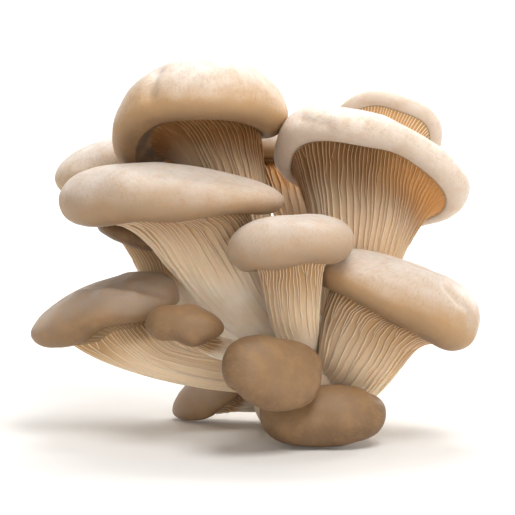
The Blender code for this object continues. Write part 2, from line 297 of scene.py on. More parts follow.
def reach_at(mushroom, angle):
    """Distance from the cap's middle to its widest line; angle 0 is the front."""
    front, right, back, left = mushroom.reach
    ahead, aside = np.cos(angle), np.sin(angle)
    long = np.abs(ahead) / np.where(ahead > 0, front, back)
    wide = np.abs(aside) / np.where(aside > 0, right, left)
    wave = np.sin(3 * angle + mushroom.phase) + 0.6 * np.sin(5 * angle + 2 * mushroom.phase)
    power = mushroom.outline
    return (long**power + wide**power) ** (-1 / power) * (1 + RIM_WAVE * wave)


def drop_at(mushroom, angle):
    front, right, back, left = mushroom.drop
    ahead, aside = np.cos(angle), np.sin(angle)
    ripple = RIM_RIPPLE * np.sin(4 * angle + 3 * mushroom.phase)
    along = ahead**2 * np.where(ahead > 0, front, back)
    across = aside**2 * np.where(aside > 0, right, left)
    lobe, depth = mushroom.droop
    hang = depth * np.maximum(0, np.cos(angle - math.radians(lobe))) ** DROOP_POWER
    return along + across + ripple + hang


def cap_points(mushroom, angle, around):
    """Points of the cap's skin. Around is 0 on the top, 90 on the widest line and
    over 180 where the margin turns in to the gills."""
    front, right, up = cap_axes(mushroom)
    reach, drop = reach_at(mushroom, angle), drop_at(mushroom, angle)
    half_width, half_height = mushroom.margin
    half_width = np.minimum(half_width, MARGIN_LIMIT * reach)
    side, less = mushroom.slim
    half_height = half_height * (1 - less * np.maximum(0, np.cos(angle - math.radians(side))))
    a = np.radians(around)
    share = np.sin(np.clip(a, 0, math.pi / 2)) ** mushroom.flat
    on_dome = around <= 90
    out = np.where(on_dome, reach * share, reach - half_width * (1 - np.sin(a)))
    height = np.where(
        on_dome, mushroom.dome * np.cos(a) - drop * share**2, half_height * np.cos(a) - drop
    )
    flat = np.cos(angle)[..., None] * front + np.sin(angle)[..., None] * right
    lean = np.where(on_dome, 1 - share**2, 0)[..., None] * (
        front * mushroom.crest[0] + right * mushroom.crest[1]
    )
    return np.array(mushroom.centre) + flat * out[..., None] + height[..., None] * up + lean


def ring_points(mushroom, section, axis, angle):
    """A stem's outline in a section across the given axis."""
    front, _, _ = cap_axes(mushroom)
    centre, deep, wide = section
    ahead = front - axis * front.dot(axis)
    ahead /= np.linalg.norm(ahead)
    aside = np.cross(axis, ahead)
    return (
        np.array(centre)
        + ahead * (deep * np.cos(angle))[..., None]
        + aside * (wide * np.sin(angle))[..., None]
    )


def unit(vector):
    return vector / np.linalg.norm(vector)


def stem_points(mushroom, angle, along):
    """The smooth stem: along is 0 at the cap's margin and 1 at the root."""
    _, _, up = cap_axes(mushroom)
    neck, waist, root = (np.array(s[0]) for s in (mushroom.neck, mushroom.waist, mushroom.root))
    points = (
        cap_points(mushroom, angle, np.full_like(angle, GILL_EDGE)),
        ring_points(mushroom, mushroom.neck, up, angle),
        ring_points(mushroom, mushroom.waist, unit(neck - waist), angle),
        ring_points(mushroom, mushroom.root, unit(waist - root), angle),
    )
    rest = 1 - along
    weights = (rest**3, 3 * along * rest**2, 3 * along**2 * rest, along**3)
    return sum(p * w[..., None] for p, w in zip(points, weights))


def stem_normals(mushroom, angle, along):
    step = 0.01
    across = stem_points(mushroom, angle + step, along) - stem_points(mushroom, angle - step, along)
    above = stem_points(mushroom, angle, np.maximum(0, along - step))
    below = stem_points(mushroom, angle, np.minimum(1, along + step))
    normal = np.cross(below - above, across)
    return normal / np.linalg.norm(normal, axis=-1, keepdims=True)


def grid_normals(points):
    """Outward normals of a closed tube of points, one row after another."""
    across = np.roll(points, -1, axis=1) - np.roll(points, 1, axis=1)
    down = np.gradient(points, axis=0)
    normal = np.cross(down, across)
    return normal / np.maximum(np.linalg.norm(normal, axis=-1, keepdims=True), 1e-9)


def tube_mesh(name, points, top, bottom, values):
    """A closed mesh from rows of points that run round a tube, with a point to close
    each end. Values are per point and become the mesh's attributes."""
    rows, columns = points.shape[:2]
    flat = np.concatenate([points.reshape(-1, 3), [top], [bottom]]) * MM
    index = np.arange(rows * columns).reshape(rows, columns)
    beside = np.roll(index, -1, axis=1)
    quads = np.stack([index[:-1], index[1:], beside[1:], beside[:-1]], axis=-1).reshape(-1, 4)
    first, last = index[0], index[-1]
    lid = [(rows * columns, int(a), int(b)) for a, b in zip(first, np.roll(first, -1))]
    end = [(int(a), rows * columns + 1, int(b)) for a, b in zip(last, np.roll(last, -1))]
    mesh = bpy.data.meshes.new(name)
    mesh.from_pydata(flat.tolist(), [], quads.tolist() + lid + end)
    for label, value in values.items():
        wide = value.ndim == 3
        ends = np.stack([value[0].mean(axis=0), value[-1].mean(axis=0)])
        data = np.concatenate([value.reshape(rows * columns, -1), ends.reshape(2, -1)])
        layer = mesh.attributes.new(label, "FLOAT_VECTOR" if wide else "FLOAT", "POINT")
        layer.data.foreach_set("vector" if wide else "value", data.astype(np.float32).ravel())
    mesh.shade_smooth()
    return mesh


class Tree:
    """Short words for building a node tree."""

    def __init__(self, tree):
        self.tree = tree

    def node(self, kind, inputs=None, **settings):
        node = self.tree.nodes.new(kind)
        for key, value in settings.items():
            setattr(node, key, value)
        for key, value in (inputs or {}).items():
            self.put(node.inputs[key], value)
        return node

    def put(self, socket, value):
        if isinstance(value, bpy.types.NodeSocket):
            self.tree.links.new(value, socket)
        else:
            socket.default_value = value

    def math(self, operation, *values):
        node = self.node("ShaderNodeMath", operation=operation)
        for socket, value in zip(node.inputs, values):
            self.put(socket, value)
        return node.outputs[0]

    def vector(self, operation, *values):
        node = self.node("ShaderNodeVectorMath", operation=operation)
        for socket, value in zip(node.inputs, values):
            self.put(socket, value)
        return node.outputs["Vector"]

    def scaled(self, vector, scale):
        inputs = {"Vector": vector, "Scale": scale}
        return self.node("ShaderNodeVectorMath", inputs, operation="SCALE").outputs["Vector"]

    def named(self, label, kind="FLOAT"):
        """A value that each point of the piece carries, in a geometry node tree."""
        inputs = {"Name": label}
        return self.node("GeometryNodeInputNamedAttribute", inputs, data_type=kind).outputs[0]

    def between(self, value, low, high, to_low=0.0, to_high=1.0):
        """Smoothly from to_low, where value is low, to to_high, where it is high."""
        inputs = {
            "Value": value, "From Min": low, "From Max": high, "To Min": to_low, "To Max": to_high,
        }
        node = self.node("ShaderNodeMapRange", inputs, interpolation_type="SMOOTHSTEP")
        return node.outputs["Result"]


# Geometry node trees, with sizes in metres.

LUMP_SIZE = 0.016
LUMP_HEIGHT = 0.0009
PUCKER_SIZE = 0.005
PUCKER_HEIGHT = 0.00018
RAGGED_SIZE = 0.0024
RAGGED_SHARE = 0.4


def node_group(name, sockets):
    """An empty tree with a geometry input and output and the named number inputs."""
    group = bpy.data.node_groups.new(name, "GeometryNodeTree")
    group.interface.new_socket("Geometry", in_out="INPUT", socket_type="NodeSocketGeometry")
    for label, kind, value in sockets:
        socket = group.interface.new_socket(label, in_out="INPUT", socket_type=kind)
        if value is not None:
            socket.default_value = value
    group.interface.new_socket("Geometry", in_out="OUTPUT", socket_type="NodeSocketGeometry")
    tree = Tree(group)
    return group, tree, tree.node("NodeGroupInput").outputs


def finish_group(tree, given, offset):
    """Moves the points by the offset and hands the piece on with its material."""
    shifted = tree.node(
        "GeometryNodeSetPosition", {"Geometry": given["Geometry"], "Offset": offset}
    )
    real = tree.node("GeometryNodeRealizeInstances", {"Geometry": shifted.outputs[0]})
    painted = tree.node(
        "GeometryNodeSetMaterial", {"Geometry": real.outputs[0], "Material": given["Material"]}
    )
    tree.node("NodeGroupOutput", {0: painted.outputs[0]})


def skin_relief_group():
    """Pushes a cap's skin in and out along its normals: broad lumps and finer unevenness."""
    group, tree, given = node_group(
        "cap_skin_relief",
        (
            ("Lump Size", "NodeSocketFloat", LUMP_SIZE),
            ("Lump Height", "NodeSocketFloat", LUMP_HEIGHT),
            ("Pucker Size", "NodeSocketFloat", PUCKER_SIZE),
            ("Pucker Height", "NodeSocketFloat", PUCKER_HEIGHT),
            ("Seed", "NodeSocketFloat", 0.0),
            ("Material", "NodeSocketMaterial", None),
        ),
    )
    place = tree.node("GeometryNodeInputPosition").outputs[0]
    normal = tree.node("GeometryNodeInputNormal").outputs[0]
    moved = []
    for size, height in (("Lump Size", "Lump Height"), ("Pucker Size", "Pucker Height")):
        noise = tree.node(
            "ShaderNodeTexNoise",
            {
                "Vector": place, "W": given["Seed"], "Detail": 1.0,
                "Scale": tree.math("DIVIDE", 1.0, given[size]),
            },
            noise_dimensions="4D",
        )
        centred = tree.math("SUBTRACT", noise.outputs[0], 0.5)
        moved.append(tree.math("MULTIPLY", centred, tree.math("MULTIPLY", given[height], 2.0)))
    calm = tree.between(tree.named("around"), 0.75, 1.0, 1.0, 0.1)
    offset = tree.scaled(normal, tree.math("MULTIPLY", tree.math("ADD", *moved), calm))
    finish_group(tree, given, offset)
    return group


def gill_group():
    """Cuts the valleys between the gills: a point moves along its own outward direction,
    down where its blade attribute is 0, and the ragged blade edges end up a little proud."""
    group, tree, given = node_group(
        "gill_blades",
        (
            ("Blade Height", "NodeSocketFloat", BLADE_HEIGHT * MM),
            ("Proud Height", "NodeSocketFloat", BLADE_PROUD * MM),
            ("Ragged Size", "NodeSocketFloat", RAGGED_SIZE),
            ("Ragged Share", "NodeSocketFloat", RAGGED_SHARE),
            ("Seed", "NodeSocketFloat", 0.0),
            ("Material", "NodeSocketMaterial", None),
        ),
    )
    blade, run, proud = (tree.named(label) for label in ("blade", "run", "proud"))
    outward = tree.named("outward", "FLOAT_VECTOR")
    place = tree.node("GeometryNodeInputPosition").outputs[0]
    noise = tree.node(
        "ShaderNodeTexNoise",
        {
            "Vector": place, "W": given["Seed"], "Detail": 2.0,
            "Scale": tree.math("DIVIDE", 1.0, given["Ragged Size"]),
        },
        noise_dimensions="4D",
    )
    dip = tree.between(noise.outputs[0], 0.5, 0.8)
    kept = tree.math("SUBTRACT", 1.0, tree.math("MULTIPLY", dip, given["Ragged Share"]))
    raised = tree.math("MULTIPLY", blade, kept)
    level = tree.math("SUBTRACT", raised, 1.0)
    cut = tree.math("MULTIPLY", tree.math("MULTIPLY", level, run), given["Blade Height"])
    lift = tree.math("ADD", cut, tree.math("MULTIPLY", proud, given["Proud Height"]))
    finish_group(tree, given, tree.scaled(outward, lift))
    return group


def apply_group(piece, group, settings):
    """Runs the tree on the piece and keeps the result as its plain mesh."""
    modifier = piece.modifiers.new(group.name, "NODES")
    modifier.node_group = group
    for item in group.interface.items_tree:
        if item.item_type == "SOCKET" and item.in_out == "INPUT" and item.name in settings:
            modifier[item.identifier] = settings[item.name]
    keep_result(piece)


def keep_result(piece):
    """Replaces the piece's mesh by what its modifiers make, and drops them."""
    bpy.context.view_layer.update()
    evaluated = piece.evaluated_get(bpy.context.evaluated_depsgraph_get())
    mesh = bpy.data.meshes.new_from_object(evaluated)
    piece.modifiers.clear()
    old = piece.data
    piece.data = mesh
    bpy.data.meshes.remove(old)
    mesh.name = piece.name


def new_piece(name, mesh):
    piece = bpy.data.objects.new(name, mesh)
    bpy.context.scene.collection.objects.link(piece)
    return piece


# Materials.

PALE_TOP = (0.89, 0.825, 0.765, 1)
# Browner side colour: partly the skin's own tone, partly painted shade where less light falls.
PALE_SIDE = (0.585, 0.378, 0.198, 1)
# The dark skin colours: partly darker skin, partly painted shade for caps in the others' shadow.
DARK_TOP = (0.275, 0.168, 0.088, 1)
DARK_SIDE = (0.165, 0.096, 0.05, 1)
# Painted shade where a cap turns under.
UNDERSIDE_SHADE = (0.21, 0.128, 0.07, 1)
# Painted shadow in the crease where the margin meets the gills.
GILL_LINE_SHADOW = (0.07, 0.045, 0.03, 1)
MOTTLE = (0.48, 0.28, 0.12, 1)
FIBRE = (0.36, 0.23, 0.13, 1)
SPECK = (0.17, 0.09, 0.04, 1)
# Gill valleys: partly the flesh's own tone, partly painted shade in the recesses, darker near the
# cap.
VALLEY_HIGH = (0.53, 0.32, 0.14, 1)
VALLEY_LOW = (0.87, 0.68, 0.47, 1)
# Painted shade for the valleys in the hollow under the cap.
VALLEY_SHADE = (0.18, 0.078, 0.022, 1)
BLADE_EDGE = (0.90, 0.77, 0.63, 1)
# Painted shade for the blades' edges in the hollow under the cap.
BLADE_SHADE = (0.37, 0.205, 0.085, 1)
CREAM = (0.93, 0.86, 0.76, 1)
CREAM_TAN = (0.84, 0.71, 0.56, 1)
STEM_FIBRE = (0.62, 0.45, 0.30, 1)
# Painted glow of back light through the flesh.
BACKLIGHT_ORANGE = (0.70, 0.38, 0.14, 1)
PURPLE_GREY = (0.42, 0.33, 0.30, 1)
PAPER = (0.86, 0.855, 0.845, 1)

# Texture scales, per metre of the piece or per step of its grain.
BROAD_PATCHES = 45.0
BLOTCHES = 160.0
SKIN_PORES = 900.0
SKIN_FIBRES = 7.0
FLECKS = 13.0
FLECK_PATCHES = 110.0
FLESH_PATCHES = 70.0
FLESH_PORES = 700.0
FLESH_FIBRES = 7.0
TINGE_PATCHES = 60.0
FOOT_PORES = 500.0

# Where a cap's skin changes, as shares of the way from its top to the gills. The browner sides and
# the dark colours are partly tone and partly painted shade; the underside and the gill line are
# painted shade.
TAN_AND_SHADE_SPAN = (0.12, 0.58)
DARK_SPAN = (0.05, 0.6)
UNDERSIDE_SHADE_SPAN = (0.4, 0.85)
GILL_LINE_SHADOW_SPAN = (0.955, 0.99)
STREAKS_START = (0.06, 0.22)
STREAKS_END = (0.75, 0.45)

# Where a stem's flesh changes, in millimetres below the gill line. The valleys lighten partly in
# tone and partly as painted shade fades; the next two spans are painted shade.
VALLEY_SPAN = (0.0, 28.0)
GILL_SHADE_SPAN = (8.0, 42.0)
SHADOW_SPAN = (0.5, 0.1)

EDGE_SPAN = (0.55, 0.98)  # shares of a blade's height where its pale edge begins
BACKLIGHT_ON_EDGES = 0.6  # share of the painted back-light orange that the gills' edges take
TINGE_SPAN = (0.04, 0.022)  # metres from the foot's middle
FOOT_TONE_AND_SHADE = 0.7  # share of the browner colour in the foot's cream flesh, partly painted shade

# Light inside the flesh: its share, and how far it travels, in metres.
SKIN_GLOW = (0.35, 0.004)
GILL_GLOW = (0.3, 0.0015)
FOOT_GLOW = (0.3, 0.0025)
GLOW_RADIUS = (1.0, 0.5, 0.26)
FLESH_IOR = 1.4


def new_material(name):
    material = bpy.data.materials.new(name)
    material.use_nodes = True
    tree = Tree(material.node_tree)
    return material, tree, material.node_tree.nodes["Principled BSDF"]


def mixed(tree, factor, first, second):
    """A colour between two."""
    node = tree.node("ShaderNodeMix", data_type="RGBA")
    tree.put(node.inputs["Factor"], factor)
    tree.put(node.inputs["A"], first)
    tree.put(node.inputs["B"], second)
    return node.outputs["Result"]


def noise_on(tree, vector, scale, detail=2.0, roughness=0.5):
    inputs = {"Vector": vector, "Scale": scale, "Detail": detail, "Roughness": roughness}
    return tree.node("ShaderNodeTexNoise", inputs).outputs[0]


def attribute(tree, name, output="Fac"):
    return tree.node("ShaderNodeAttribute", attribute_name=name).outputs[output]


def object_place(tree):
    return tree.node("ShaderNodeTexCoord").outputs["Object"]


def flesh_light(shader, weight, reach):
    """Light that travels inside pale mushroom flesh, furthest in red."""
    shader.inputs["Subsurface Weight"].default_value = weight
    shader.inputs["Subsurface Radius"].default_value = GLOW_RADIUS
    shader.inputs["Subsurface Scale"].default_value = reach
    shader.inputs["IOR"].default_value = FLESH_IOR


def cap_skin():
    """Satin skin: pale on top and browner down the sides, partly its own tone and partly painted
    shade; painted shade where it turns under and a painted shadow line at the gills; fine fibres
    that run out from the middle and small dark specks."""
    material, tree, shader = new_material("cap_skin_look")
    place = object_place(tree)
    around = attribute(tree, "around")
    shade, tan = attribute(tree, "shade"), attribute(tree, "tan")
    grain = attribute(tree, "grain", "Vector")
    broad = noise_on(tree, place, BROAD_PATCHES, 3.0)
    blotch = noise_on(tree, place, BLOTCHES, 4.0, 0.6)
    fibre = noise_on(tree, grain, SKIN_FIBRES, 4.0, 0.65)
    down = tree.math("ADD", around, tree.math("MULTIPLY", tree.math("SUBTRACT", broad, 0.5), 0.35))
    # Pale top to browner sides: partly the skin's own tone, partly painted shade where less light
    # falls.
    side_tan_and_shade = tree.math("MULTIPLY", tree.between(down, *TAN_AND_SHADE_SPAN), tan)
    pale = mixed(tree, side_tan_and_shade, PALE_TOP, PALE_SIDE)
    dark = mixed(tree, tree.between(down, *DARK_SPAN), DARK_TOP, DARK_SIDE)
    # Mixing to the dark colours by the shade value: partly darker skin, partly painted shade on
    # caps in the others' shadow.
    colour = mixed(tree, shade, pale, dark)
    # Painted shade on the underside, where the cap turns under to the gills.
    hidden = tree.math("MULTIPLY", tree.between(around, *UNDERSIDE_SHADE_SPAN, 0.0, 0.9), tan)
    under = mixed(tree, hidden, colour, UNDERSIDE_SHADE)
    # A painted shadow line in the crease where the margin meets the gills.
    rim_shadow = tree.between(around, *GILL_LINE_SHADOW_SPAN)
    rim_shadowed = tree.math("MULTIPLY", rim_shadow, tree.between(tan, 0.0, 1.0, 0.2, 0.75))
    under = mixed(tree, rim_shadowed, under, GILL_LINE_SHADOW)
    mottle = mixed(tree, tree.between(blotch, 0.4, 0.7, 0.0, 0.26), under, MOTTLE)
    start = tree.between(down, *STREAKS_START)
    band = tree.math("MULTIPLY", start, tree.between(down, *STREAKS_END, 0.15, 1.0))
    line = tree.between(fibre, 0.46, 0.74)
    streak = tree.math("MULTIPLY", line, tree.between(band, 0.0, 1.0, 0.1, 0.34))
    streaked = mixed(tree, streak, mottle, FIBRE)
    cells = tree.node(
        "ShaderNodeTexVoronoi", {"Vector": grain, "Scale": FLECKS, "Randomness": 1.0}
    ).outputs["Distance"]
    where = noise_on(tree, place, FLECK_PATCHES, 3.0)
    fleck = tree.math("MULTIPLY", tree.between(cells, 0.26, 0.08), tree.between(where, 0.42, 0.6))
    speck = tree.math("MULTIPLY", tree.math("MULTIPLY", fleck, band), 0.3)
    tree.put(shader.inputs["Base Color"], mixed(tree, speck, streaked, SPECK))
    tree.put(shader.inputs["Roughness"], tree.between(blotch, 0.3, 0.7, 0.42, 0.56))
    strands = tree.math("MULTIPLY", fibre, 0.6)
    height = tree.math("ADD", strands, noise_on(tree, place, SKIN_PORES, 3.0))
    bump = tree.node("ShaderNodeBump", {"Strength": 0.35, "Distance": 0.0003, "Height": height})
    tree.put(shader.inputs["Normal"], bump.outputs[0])
    flesh_light(shader, *SKIN_GLOW)
    shader.inputs["Specular IOR Level"].default_value = 0.4
    return material


def base_tinge(tree, colour):
    """Flesh turns purple-grey near the foot, in soft patches."""
    place = object_place(tree)
    apart = tree.vector("SUBTRACT", place, tuple(v * MM for v in FOOT_CENTRE))
    far = tree.node("ShaderNodeVectorMath", {0: apart}, operation="LENGTH").outputs["Value"]
    patch = noise_on(tree, place, TINGE_PATCHES, 3.0)
    near = tree.math("ADD", far, tree.math("MULTIPLY", tree.math("SUBTRACT", patch, 0.5), 0.02))
    return mixed(tree, tree.between(near, *TINGE_SPAN, 0.0, 0.3), colour, PURPLE_GREY)


def cream_flesh(tree, place):
    """The smooth flesh of a stem, and of the foot, which it runs into."""
    patch = noise_on(tree, place, FLESH_PATCHES, 3.0)
    return mixed(tree, tree.between(patch, 0.35, 0.7), CREAM, CREAM_TAN)


def gill_flesh():
    """Gills with pale edges over warm brown valleys, running into smooth cream flesh. The valleys'
    brown is partly the flesh's tone and partly painted shade; painted shade under the cap, a
    painted glow of back light and a painted shadow at the gill line lie on top.
    """
    material, tree, shader = new_material("gill_flesh_look")
    place = object_place(tree)
    blade, gilled, below, gill_shade = (
        attribute(tree, name) for name in ("blade", "gilled", "below", "gill_shade")
    )
    grain = attribute(tree, "grain", "Vector")
    # Valleys browner than the edges and darker near the cap: partly the flesh's tone, partly
    # painted shade.
    valley = mixed(tree, tree.between(below, *VALLEY_SPAN), VALLEY_HIGH, VALLEY_LOW)
    # Painted shade on the gills in the hollow under the cap, fading down the stem.
    gill_shade_mask = tree.math("MULTIPLY", gill_shade, tree.between(below, *GILL_SHADE_SPAN, 1.0, 0.1))
    valley = mixed(tree, gill_shade_mask, valley, VALLEY_SHADE)
    edge = mixed(tree, gill_shade_mask, BLADE_EDGE, BLADE_SHADE)
    # A painted glow of back light, orange through the flesh, also on the edges.
    valley = mixed(tree, attribute(tree, "backlight_glow"), valley, BACKLIGHT_ORANGE)
    gills = mixed(tree, tree.between(blade, *EDGE_SPAN), valley, edge)
    glow = tree.math("MULTIPLY", attribute(tree, "backlight_glow"), BACKLIGHT_ON_EDGES)
    gills = mixed(tree, glow, gills, BACKLIGHT_ORANGE)
    # A painted shadow just below the gill line.
    gills = mixed(tree, tree.between(below, *SHADOW_SPAN, 0.0, 0.45), gills, GILL_LINE_SHADOW)
    colour = mixed(tree, gilled, cream_flesh(tree, place), gills)
    fibre = noise_on(tree, grain, FLESH_FIBRES, 4.0, 0.6)
    streaked = mixed(tree, tree.between(fibre, 0.45, 0.8, 0.0, 0.22), colour, STEM_FIBRE)
    tree.put(shader.inputs["Base Color"], base_tinge(tree, streaked))
    shader.inputs["Roughness"].default_value = 0.6
    pores = tree.math("MULTIPLY", noise_on(tree, place, FLESH_PORES, 3.0), 0.5)
    height = tree.math("ADD", fibre, pores)
    bump = tree.node("ShaderNodeBump", {"Strength": 0.3, "Distance": 0.0004, "Height": height})
    tree.put(shader.inputs["Normal"], bump.outputs[0])
    flesh_light(shader, *GILL_GLOW)
    shader.inputs["Specular IOR Level"].default_value = 0.25
    return material


def foot_flesh():
    """Cream flesh of the foot, a little browner, partly as painted shade, fretted with fine pores.
    """
    material, tree, shader = new_material("foot_flesh_look")
    place = object_place(tree)
    fine = noise_on(tree, place, FOOT_PORES, 4.0, 0.65)
    flesh = mixed(tree, FOOT_TONE_AND_SHADE, cream_flesh(tree, place), VALLEY_LOW)
    fretted = mixed(tree, tree.between(fine, 0.5, 0.75, 0.0, 0.3), flesh, STEM_FIBRE)
    tree.put(shader.inputs["Base Color"], base_tinge(tree, fretted))
    shader.inputs["Roughness"].default_value = 0.7
    bump = tree.node("ShaderNodeBump", {"Strength": 0.5, "Distance": 0.0006, "Height": fine})
    tree.put(shader.inputs["Normal"], bump.outputs[0])
    flesh_light(shader, *FOOT_GLOW)
    return material


# Caps and stems.


def marked(mushroom, points):
    """Presses the mushroom's own dents and creases into its skin."""
    normals = grid_normals(points)
    for mark in mushroom.marks:
        ends = [
            cap_points(mushroom, np.array(math.radians(a)), np.array(float(b)))
            for a, b in (mark.start, mark.end)
        ]
        way = ends[1] - ends[0]
        share = np.clip(((points - ends[0]) @ way) / max(way.dot(way), 1e-6), 0, 1)
        apart = np.linalg.norm(points - (ends[0] + share[..., None] * way), axis=-1)
        push = mark.depth * np.exp(-((apart / mark.width) ** 2))
        points = points - normals * push[..., None]
    return points


def hidden_top(mushroom):
    """A point inside the cap, over the neck, that closes the cap's skin and the stem."""
    _, _, up = cap_axes(mushroom)
    return np.array(mushroom.neck[0]) + up * TOP_RISE * max(mushroom.neck[1:])


def make_cap(mushroom, relief, material, seed):
    angle = np.linspace(0, 2 * math.pi, CAP_COLUMNS, endpoint=False)[None, :]
    around = np.linspace(FIRST_ROW, GILL_EDGE + CAP_LAP, CAP_ROWS)[:, None]
    angle, around = np.broadcast_arrays(angle, around)
    points = marked(mushroom, cap_points(mushroom, angle, around))
    top = cap_points(mushroom, np.array(0.0), np.array(0.0))
    values = {
        "around": around / GILL_EDGE,
        "shade": np.full(angle.shape, mushroom.shade),
        "tan": np.full(angle.shape, mushroom.tan),
        "grain": np.stack(
            [
                np.cos(angle) * CAP_GRAIN_ROUND,
                np.sin(angle) * CAP_GRAIN_ROUND,
                around / CAP_GRAIN_DOWN + mushroom.phase,
            ],
            axis=-1,
        ),
    }
    mesh = tube_mesh("skin_of_cap_" + mushroom.name, points, top, hidden_top(mushroom), values)
    piece = new_piece(mesh.name, mesh)
    apply_group(piece, relief, {"Seed": float(seed), "Material": material})
    return piece


def line_length(points):
    return np.linalg.norm(np.diff(points, axis=0), axis=1).sum()


def gill_columns(mushroom, along, seed):
    """Where the gills run. Each cell holds a long gill, a shorter one that bends over
    and joins a long one, and two short ones by the margin. Returns, for every row and
    column, the place round the stem as a share of a turn and the blade's height."""
    rim_angle = np.linspace(0, 2 * math.pi, RIM_STEPS)
    rim = cap_points(mushroom, rim_angle, np.full_like(rim_angle, GILL_EDGE))
    cells = max(FEWEST_CELLS, round(line_length(rim) / (2 * mushroom.gills[0])))
    random = np.random.default_rng(seed)
    v = along[:, None]
    cell = np.arange(cells)[None, :]
    girth = np.array([
        line_length(stem_points(mushroom, rim_angle, np.full_like(rim_angle, a))) for a in along
    ])
    half = np.clip(BLADE_HALF_WIDTH * cells / girth, *BLADE_LIMITS)[:, None]
    flow = np.cumsum(random.normal(0, FLOW, (len(SWAYS), cells)), axis=1)
    flow -= flow[:, -1:] * np.arange(cells) / cells
    sway = sum(
        size * np.sin(2 * math.pi * waves * v + phase)
        for (size, waves), phase in zip(SWAYS, flow)
    )
    main = cell + sway * smooth_step(0.0, SWAY_FULL, v) + random.uniform(-SCATTER, SCATTER, cells)
    for i in np.flatnonzero(random.random(cells) < PAIRED):
        pull = 0.5 * smooth_step(BEND_FROM, 1.0, along / random.uniform(*PAIRS_MEET))
        main[:, i] += pull
        main[:, (i + 1) % cells] -= pull
    following = np.roll(main, -1, axis=1)
    following[:, -1] += cells
    width = following - main
    side = random.choice([-1, 1], cells)
    joins = random.uniform(*JOINS, cells)
    bend = smooth_step(BEND_FROM, 1.0, v / joins)
    second = main + width * (0.5 + side * JOIN_REACH * bend)
    second_high = 1 - smooth_step(SECOND_SINKS, 1.0, v / joins)
    low_ends = random.uniform(*LOW_ENDS, (2, cells))
    main_ends = mushroom.fade * random.uniform(*MAIN_ENDS, cells)
    main_high = 1 - smooth_step(MAIN_SINKS, 1.0, v / main_ends)
    places, heights = [], []

    def ridge(centre, high, spread, profile):
        for offset, share in profile:
            places.append(centre + offset * spread)
            heights.append(high * share)

    first_low, second_low = (
        LOW_HEIGHT * (1 - smooth_step(LOW_SINKS, 1.0, v / ends)) for ends in low_ends
    )
    ridge(main, main_high, half, BLADE_PROFILE[2:])
    ridge((main + half + second - half) / 2, first_low, half * LOW_WIDTH, LOW_PROFILE)
    ridge(second, SECOND_HEIGHT * second_high, half, BLADE_PROFILE)
    ridge((second + half + following - half) / 2, second_low, half * LOW_WIDTH, LOW_PROFILE)
    ridge(following, np.roll(main_high, -1, axis=1), half, BLADE_PROFILE[:2])
    place = np.stack(places, axis=-1)
    place = np.maximum.accumulate(place, axis=-1)
    rows = len(along)
    blades = np.stack([np.broadcast_to(h, place.shape[:2]) for h in heights], axis=-1)
    return place.reshape(rows, -1) / cells, blades.reshape(rows, -1)


def make_stem(mushroom, blades_group, material, seed):
    along = np.linspace(0, 1, STEM_ROWS) ** STEM_GATHER
    share, blade = gill_columns(mushroom, along, seed)
    angle = share * 2 * math.pi
    v = np.broadcast_to(along[:, None], angle.shape)
    smooth = stem_points(mushroom, angle, v)
    normal = stem_normals(mushroom, angle, v)
    below = np.linalg.norm(np.diff(smooth, axis=0, prepend=smooth[:1]), axis=-1).cumsum(axis=0)
    gilled = 1 - smooth_step(mushroom.fade * GILLED_TO, mushroom.fade, v)
    bare_side, bare_spread = mushroom.bare
    off = np.abs((np.degrees(angle) - bare_side + 180) % 360 - 180)
    blade = blade * smooth_step(bare_spread - BARE_EDGE, bare_spread + 0.01, off)
    depth = mushroom.gills[1]
    run = smooth_step(0.0, RIM_STEP, below) * gilled * depth
    # A painted glow of back light, strongest on one side and fading below the margin.
    backlight_side, backlight_share = mushroom.backlight_glow
    backlight_glow = backlight_share * np.maximum(0, np.cos(angle - math.radians(backlight_side))) ** 2
    backlight_glow = backlight_glow * (1 - smooth_step(*BACKLIGHT_FADE, below))
    _, _, up = cap_axes(mushroom)
    tucked = cap_points(mushroom, angle[0], np.full_like(angle[0], TUCK)) + up * TUCK_LIFT
    points = np.concatenate([tucked[None], smooth])

    def lead(values):
        return np.concatenate([values[:1], values])

    values = {
        "blade": lead(blade),
        "run": lead(run),
        "gilled": lead(gilled),
        "proud": lead(smooth_step(RIM_STEP, PROUD_AT, below) * gilled * depth),
        "backlight_glow": lead(backlight_glow),
        "gill_shade": lead(np.full(v.shape, mushroom.gill_shade)),
        "below": lead(below),
        "outward": lead(normal),
        "grain": lead(np.stack(
            [
                np.cos(angle) * STEM_GRAIN_ROUND,
                np.sin(angle) * STEM_GRAIN_ROUND,
                v * STEM_GRAIN_DOWN + seed,
            ],
            axis=-1,
        )),
    }
    top, bottom = hidden_top(mushroom), np.array(mushroom.root[0])
    mesh = tube_mesh("gills_and_stem_" + mushroom.name, points, top, bottom, values)
    piece = new_piece(mesh.name, mesh)
    apply_group(piece, blades_group, {"Seed": float(seed), "Material": material})
    return piece


# The foot.


def foot_points():
    """Points of the foot's lumpy side, as the part has them, down to the flat cut."""
    angle = np.linspace(0, 2 * math.pi, FOOT_COLUMNS, endpoint=False)[None, :]
    tilt = np.linspace(FOOT_POLE, math.pi - FOOT_POLE, FOOT_ROWS)[:, None]
    ring = np.sin(tilt)
    lumps = FOOT_LUMPS * (
        np.sin(3 * angle + 1.1) * ring + 0.6 * np.cos(5 * angle + 4 * tilt) * ring
    )
    x = (FOOT_RADII[0] + lumps) * ring * np.cos(angle)
    y = (FOOT_RADII[1] + lumps) * ring * np.sin(angle)
    z = (FOOT_RADII[2] + lumps) * np.cos(tilt)
    points = np.stack([x, y, z], axis=-1) + np.array(FOOT_CENTRE)
    points[..., 2] = np.maximum(points[..., 2], 0)
    return points


